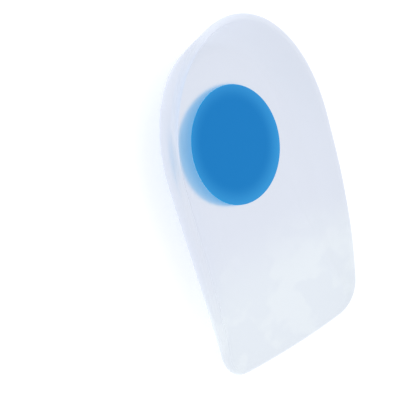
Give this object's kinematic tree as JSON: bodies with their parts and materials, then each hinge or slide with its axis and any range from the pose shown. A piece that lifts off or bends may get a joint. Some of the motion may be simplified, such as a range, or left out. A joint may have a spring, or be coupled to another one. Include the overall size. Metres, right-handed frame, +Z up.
{
  "type": "silicone heel cup",
  "caption": "Translucent silicone heel cup with low flared walls round the heel, a seat that thins to a straight toe edge, and an oval soft gel pad set flush under the heel.",
  "frame": {"origin": "on the surface that the cup lies on, under the middle of its length and width", "axes": "+Z up out of the seat, +Y towards the back of the heel, -Y towards the toe edge, +X towards the wearer's right"},
  "size_m": [0.0636, 0.1104, 0.02],
  "materials": {
    "milky_silicone": "satin, milky and slightly translucent",
    "blue_gel": "satin, even blue"
  },
  "bodies": {
    "root": {"cup_shell": "milky_silicone", "heel_pad": "blue_gel"}
  },
  "joints": []
}
